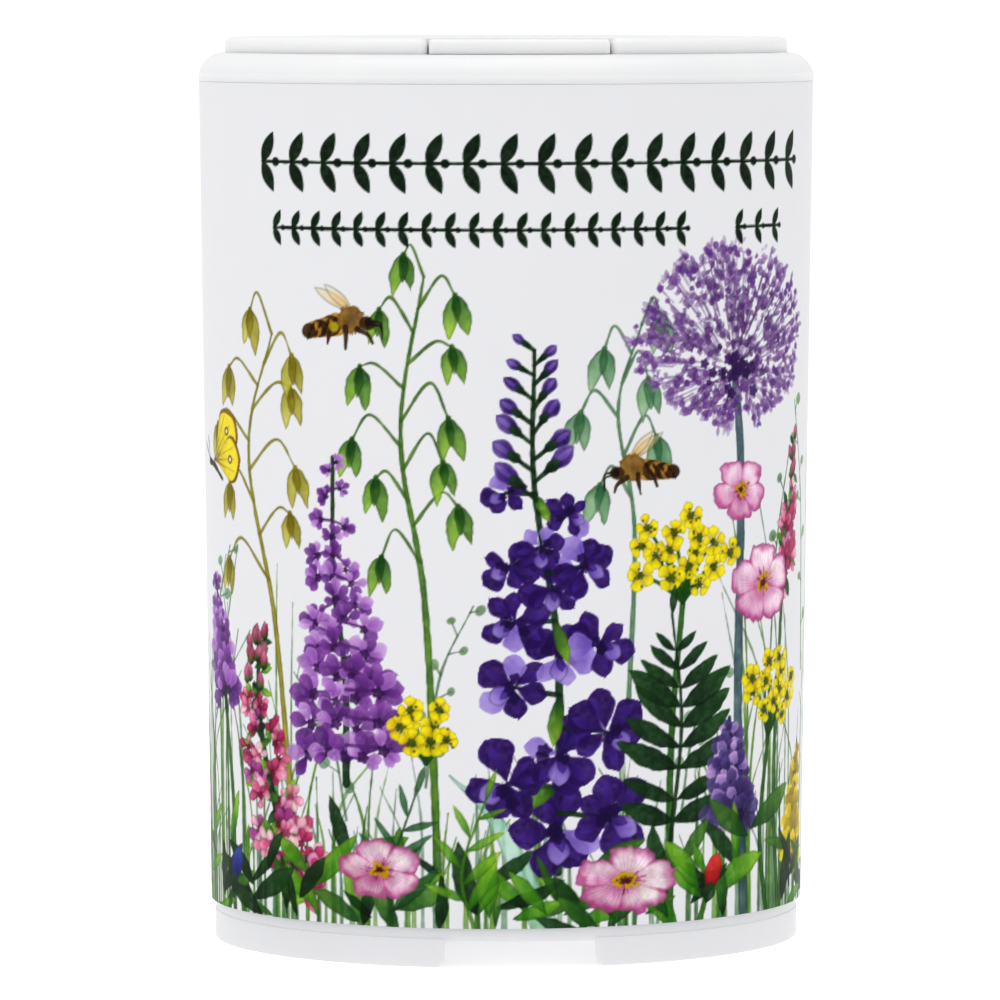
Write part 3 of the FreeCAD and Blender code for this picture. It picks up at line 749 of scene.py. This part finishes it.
# One large line, and below it a small one with a short piece apart.
leafy_band((1.4, 66.2), 24.2, 2.9, 1.15, 4.4)
leafy_band((-4.2, 60.8), 17.4, 1.9, 0.7, 2.6)
leafy_band((21.4, 60.8), 2.3, 1.9, 0.7, 2.6)
INK_DEPTH = 1.22  # above 1 the inks print deeper than they were mixed, and the white stays
print_colours = PAPER * (np.clip(print_colours, 0, 1) / PAPER) ** INK_DEPTH


# Label mesh ----------------------------------------------------------------------------------

FLAT_LOW, FLAT_HIGH = 0.002, 0.998
FLAT_FRONT = 0.17, 0.83  # two thirds of the flat map's width, for the finest print
SHARP = math.radians(40)


def to_linear(colour):
    """Screen colours as linear light."""
    colour = np.clip(colour, 0, 1)
    return np.where(colour <= 0.04045, colour / 12.92, ((colour + 0.055) / 1.055) ** 2.4)


def on_tube(s, z, inset=0.0):
    """Places on the tapered oval, in metres, for places on the flat label."""
    angle = np.interp(s, along, around)[None, :]
    rise = ((z - LOW) / (HIGH - LOW))[:, None]
    half_width = BASE_HALVES[0] + (TOP_HALVES[0] - BASE_HALVES[0]) * rise - inset
    half_depth = BASE_HALVES[1] + (TOP_HALVES[1] - BASE_HALVES[1]) * rise - inset
    x, y = half_width * np.sin(angle), -half_depth * np.cos(angle)
    return np.stack([x, y, np.broadcast_to(z[:, None], x.shape)], -1).reshape(-1, 3) * MM


def make_label():
    """The film as a closed skin: printed outside, plain inside, with a butt seam at the back."""
    rows, columns = len(Z), len(S)
    outside = on_tube(S, Z)
    inside = on_tube(S, np.array([Z[0], Z[-1]]), FILM_THICKNESS)
    grid = np.arange(rows * columns).reshape(rows, columns)
    inner = np.arange(2 * columns).reshape(2, columns) + rows * columns

    def quads(a, b, c, d):
        return np.stack([a, b, c, d], -1).reshape(-1, 4)

    faces = [
        quads(grid[:-1, :-1], grid[:-1, 1:], grid[1:, 1:], grid[1:, :-1]),
        quads(inner[0, 1:], inner[0, :-1], inner[1, :-1], inner[1, 1:]),
        quads(grid[0, 1:], grid[0, :-1], inner[0, :-1], inner[0, 1:]),
        quads(grid[-1, :-1], grid[-1, 1:], inner[1, 1:], inner[1, :-1]),
    ]
    four_sided = np.concatenate(faces)
    ends = [
        np.concatenate([grid[::-1, -1], [inner[0, -1], inner[1, -1]]])[::-1],
        np.concatenate([grid[:, 0], [inner[1, 0], inner[0, 0]]])[::-1],
    ]
    corners = np.concatenate([four_sided.ravel(), *ends]).astype(np.int32)
    totals = np.concatenate([np.full(len(four_sided), 4), [len(end) for end in ends]]).astype(np.int32)
    starts = np.concatenate([[0], np.cumsum(totals)[:-1]]).astype(np.int32)
    mesh = bpy.data.meshes.new("label_print")
    mesh.vertices.add(len(outside) + len(inside))
    mesh.vertices.foreach_set("co", np.concatenate([outside, inside]).astype(np.float32).ravel())
    mesh.loops.add(len(corners))
    mesh.loops.foreach_set("vertex_index", corners)
    mesh.polygons.add(len(totals))
    mesh.polygons.foreach_set("loop_start", starts)
    mesh.polygons.foreach_set("use_smooth", np.ones(len(totals), bool))
    mesh.update(calc_edges=True)
    plain = np.tile(to_linear(PAPER), (2 * columns, 1))
    colours = np.concatenate([to_linear(print_colours).reshape(-1, 3), plain])
    ink = mesh.attributes.new("ink", "FLOAT_VECTOR", "POINT")
    ink.data.foreach_set("vector", colours.astype(np.float32).ravel())
    across = np.interp(S, [S[0], -FRONT, FRONT, S[-1]], [FLAT_LOW, *FLAT_FRONT, FLAT_HIGH])
    up = np.linspace(FLAT_LOW, FLAT_HIGH, rows)
    flat = np.stack(np.meshgrid(across, up), -1).reshape(-1, 2)
    inner_flat = np.concatenate([flat[:columns], flat[-columns:]])
    places = np.concatenate([flat, inner_flat])[corners]
    mesh.uv_layers.new(name="OFBake").uv.foreach_set("vector", places.astype(np.float32).ravel())
    mesh.set_sharp_from_angle(angle=SHARP)
    label = bpy.data.objects.new("label_print", mesh)
    bpy.context.scene.collection.objects.link(label)
    return label


# Materials -----------------------------------------------------------------------------------

GRAIN_DEPTH = 0.02 * MM


def new_material(name):
    """A material with its node tree and its shader."""
    material = bpy.data.materials.new(name)
    material.use_nodes = True
    return material, material.node_tree, material.node_tree.nodes["Principled BSDF"]


def noise_node(tree, scale, detail=2.0):
    """Noise fixed to the object, with scale in features to the metre."""
    place = tree.nodes.new("ShaderNodeTexCoord")
    noise = tree.nodes.new("ShaderNodeTexNoise")
    noise.inputs["Scale"].default_value = scale
    noise.inputs["Detail"].default_value = detail
    tree.links.new(place.outputs["Object"], noise.inputs["Vector"])
    return noise


def ranged(tree, value, low, high):
    """A number from 0 to 1 turned into one from low to high."""
    node = tree.nodes.new("ShaderNodeMapRange")
    node.inputs["To Min"].default_value = low
    node.inputs["To Max"].default_value = high
    tree.links.new(value, node.inputs["Value"])
    return node.outputs["Result"]


def add_bump(tree, shader, height, strength, distance):
    """Fine relief from a number, as high as the distance in metres."""
    bump = tree.nodes.new("ShaderNodeBump")
    bump.inputs["Strength"].default_value = strength
    bump.inputs["Distance"].default_value = distance
    tree.links.new(height, bump.inputs["Height"])
    tree.links.new(bump.outputs["Normal"], shader.inputs["Normal"])


def moulded_plastic(name, shade, cool):
    """White polypropylene: faint cloudiness from its flow, a fine mould grain, a satin gloss."""
    material, tree, shader = new_material(name)
    cloud = noise_node(tree, 130, 3)
    ramp = tree.nodes.new("ShaderNodeValToRGB")
    ramp.color_ramp.elements[0].position = 0.3
    ramp.color_ramp.elements[1].position = 0.7
    ramp.color_ramp.elements[0].color = (shade * 0.975, shade * 0.98, shade * cool * 0.985, 1)
    ramp.color_ramp.elements[1].color = (shade, shade, shade * cool, 1)
    tree.links.new(cloud.outputs["Fac"], ramp.inputs["Fac"])
    tree.links.new(ramp.outputs["Color"], shader.inputs["Base Color"])
    grain = noise_node(tree, 5200, 2)
    gloss = ranged(tree, noise_node(tree, 420, 3).outputs["Fac"], 0.27, 0.39)
    tree.links.new(gloss, shader.inputs["Roughness"])
    add_bump(tree, shader, grain.outputs["Fac"], 0.12, GRAIN_DEPTH)
    shader.inputs["Subsurface Weight"].default_value = 0.5
    shader.inputs["Subsurface Radius"].default_value = (0.0016, 0.0015, 0.0014)
    shader.inputs["Subsurface Scale"].default_value = 1.0
    shader.inputs["IOR"].default_value = 1.49
    return material


def printed_film():
    """The label: its print from the mesh, a slight unevenness of the white, and a soft gloss."""
    material, tree, shader = new_material("printed_film")
    ink = tree.nodes.new("ShaderNodeAttribute")
    ink.attribute_name = "ink"
    uneven = tree.nodes.new("ShaderNodeMix")
    uneven.data_type = "RGBA"
    uneven.blend_type = "MULTIPLY"
    uneven.inputs["Factor"].default_value = 1.0
    tone = tree.nodes.new("ShaderNodeCombineColor")
    shade = ranged(tree, noise_node(tree, 300, 4).outputs["Fac"], 0.975, 1.0)
    for channel in ("Red", "Green", "Blue"):
        tree.links.new(shade, tone.inputs[channel])
    tree.links.new(ink.outputs["Color"], uneven.inputs["A"])
    tree.links.new(tone.outputs["Color"], uneven.inputs["B"])
    tree.links.new(uneven.outputs["Result"], shader.inputs["Base Color"])
    gloss = ranged(tree, noise_node(tree, 900, 3).outputs["Fac"], 0.3, 0.42)
    tree.links.new(gloss, shader.inputs["Roughness"])
    add_bump(tree, shader, noise_node(tree, 2600, 3).outputs["Fac"], 0.1, GRAIN_DEPTH)
    shader.inputs["IOR"].default_value = 1.48
    shader.inputs["Specular IOR Level"].default_value = 0.05
    return material


CAP_WHITE = moulded_plastic("cap_plastic", 0.82, 1.004)
TUBE_WHITE = moulded_plastic("tube_plastic", 0.74, 1.01)
BASE_WHITE = moulded_plastic("base_plastic", 0.74, 1.03)
for node, material in {
    "body_shell": TUBE_WHITE,
    "base_cap": BASE_WHITE,
    "top_cap": CAP_WHITE,
    "platform_cover": CAP_WHITE,
    "shutter": CAP_WHITE,
}.items():
    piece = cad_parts[node]
    piece.data.materials.clear()
    piece.data.materials.append(material)

label = make_label()
label.data.materials.append(printed_film())
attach(label, "container")
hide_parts("printed_sleeve")


# Floor, light and camera ---------------------------------------------------------------------

FLOOR_SIZE = 80.0
FLOOR_GLOW = 0.52
SKY_STRENGTH = 0.87
bpy.ops.mesh.primitive_plane_add(size=FLOOR_SIZE, location=(0, 0, cad_low.z))
floor = bpy.context.object
floor.name = "floor"
floor_material, tree, shader = new_material("floor")
floor_ramp = tree.nodes.new("ShaderNodeValToRGB")
floor_ramp.color_ramp.elements[0].color = (0.6, 0.6, 0.6, 1)
floor_ramp.color_ramp.elements[1].color = (0.63, 0.63, 0.63, 1)
tree.links.new(noise_node(tree, 12).outputs["Fac"], floor_ramp.inputs["Fac"])
tree.links.new(floor_ramp.outputs["Color"], shader.inputs["Base Color"])
shader.inputs["Roughness"].default_value = 0.7
# The floor glows a little, so that it is seen as white and its shadows stay faint.
shader.inputs["Emission Color"].default_value = (1, 1, 1, 1)
shader.inputs["Emission Strength"].default_value = FLOOR_GLOW
floor.data.materials.append(floor_material)

world = bpy.data.worlds.new("studio")
bpy.context.scene.world = world
world.use_nodes = True
world.node_tree.nodes["Background"].inputs["Color"].default_value = (1, 1, 1, 1)
world.node_tree.nodes["Background"].inputs["Strength"].default_value = SKY_STRENGTH


def direction_turn(away):
    """The turn that points an object's -Z along a direction, its X kept level."""
    flat = math.hypot(away[0], away[1])
    return math.atan2(flat, -away[2]), 0, math.atan2(-away[0], away[1])


def soft_light(name, place, aim, size, power):
    """A square area light that faces a point."""
    data = bpy.data.lights.new(name, "AREA")
    data.shape = "SQUARE"
    data.size = size
    data.energy = power
    lamp = bpy.data.objects.new(name, data)
    lamp.location = place
    lamp.rotation_euler = direction_turn(np.subtract(aim, place))
    bpy.context.scene.collection.objects.link(lamp)


MIDDLE = (0, 0, 0.038)
soft_light("top", (0, -0.05, 0.9), MIDDLE, 0.8, 2.2)
soft_light("left", (-0.75, -0.35, 0.35), MIDDLE, 0.6, 0.4)

CAMERA_DISTANCE = 0.505
CAMERA_HEIGHT = 0.081
CAMERA_TURN = math.radians(-3.7)
AIM_SIDE, AIM_HEIGHT = -0.00054, 0.03703
SENSOR, LENS = 36.0, 214.6
camera_data = bpy.data.cameras.new("camera")
camera_data.sensor_width = SENSOR
camera_data.lens = LENS
camera = bpy.data.objects.new("camera", camera_data)
bpy.context.scene.collection.objects.link(camera)
eye = np.array([
    math.sin(CAMERA_TURN) * CAMERA_DISTANCE, -math.cos(CAMERA_TURN) * CAMERA_DISTANCE, CAMERA_HEIGHT
])
aim = np.array([AIM_SIDE * math.cos(CAMERA_TURN), AIM_SIDE * math.sin(CAMERA_TURN), AIM_HEIGHT])
camera.location = eye
camera.rotation_euler = direction_turn(aim - eye)
bpy.context.scene.camera = camera
bpy.context.scene.view_settings.view_transform = "Standard"
